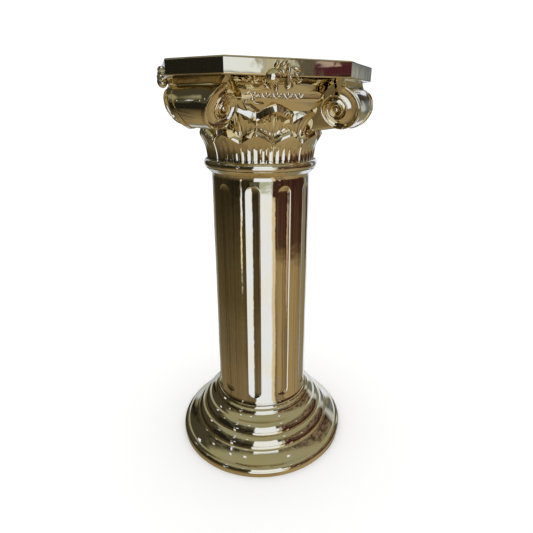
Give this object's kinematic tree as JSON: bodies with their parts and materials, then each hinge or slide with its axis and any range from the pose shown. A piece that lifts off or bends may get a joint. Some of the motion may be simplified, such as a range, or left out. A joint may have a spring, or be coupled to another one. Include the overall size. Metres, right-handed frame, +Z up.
{
  "type": "corinthian column pedestal",
  "caption": "Short classical column for display: round stepped base, fluted shaft and leafy capital with corner scrolls under an eight-sided slab.",
  "frame": {"origin": "centre of the underside, on the floor that the base stands on", "axes": "+Z up along the column's axis; the slab's front face looks towards -Y"},
  "size_m": [0.3456, 0.3456, 0.72],
  "materials": {
    "plated_gold": "pale gold mirror plating over smooth moulded resin"
  },
  "bodies": {
    "root": {"base": "plated_gold", "shaft": "plated_gold", "capital": "plated_gold"}
  },
  "joints": []
}
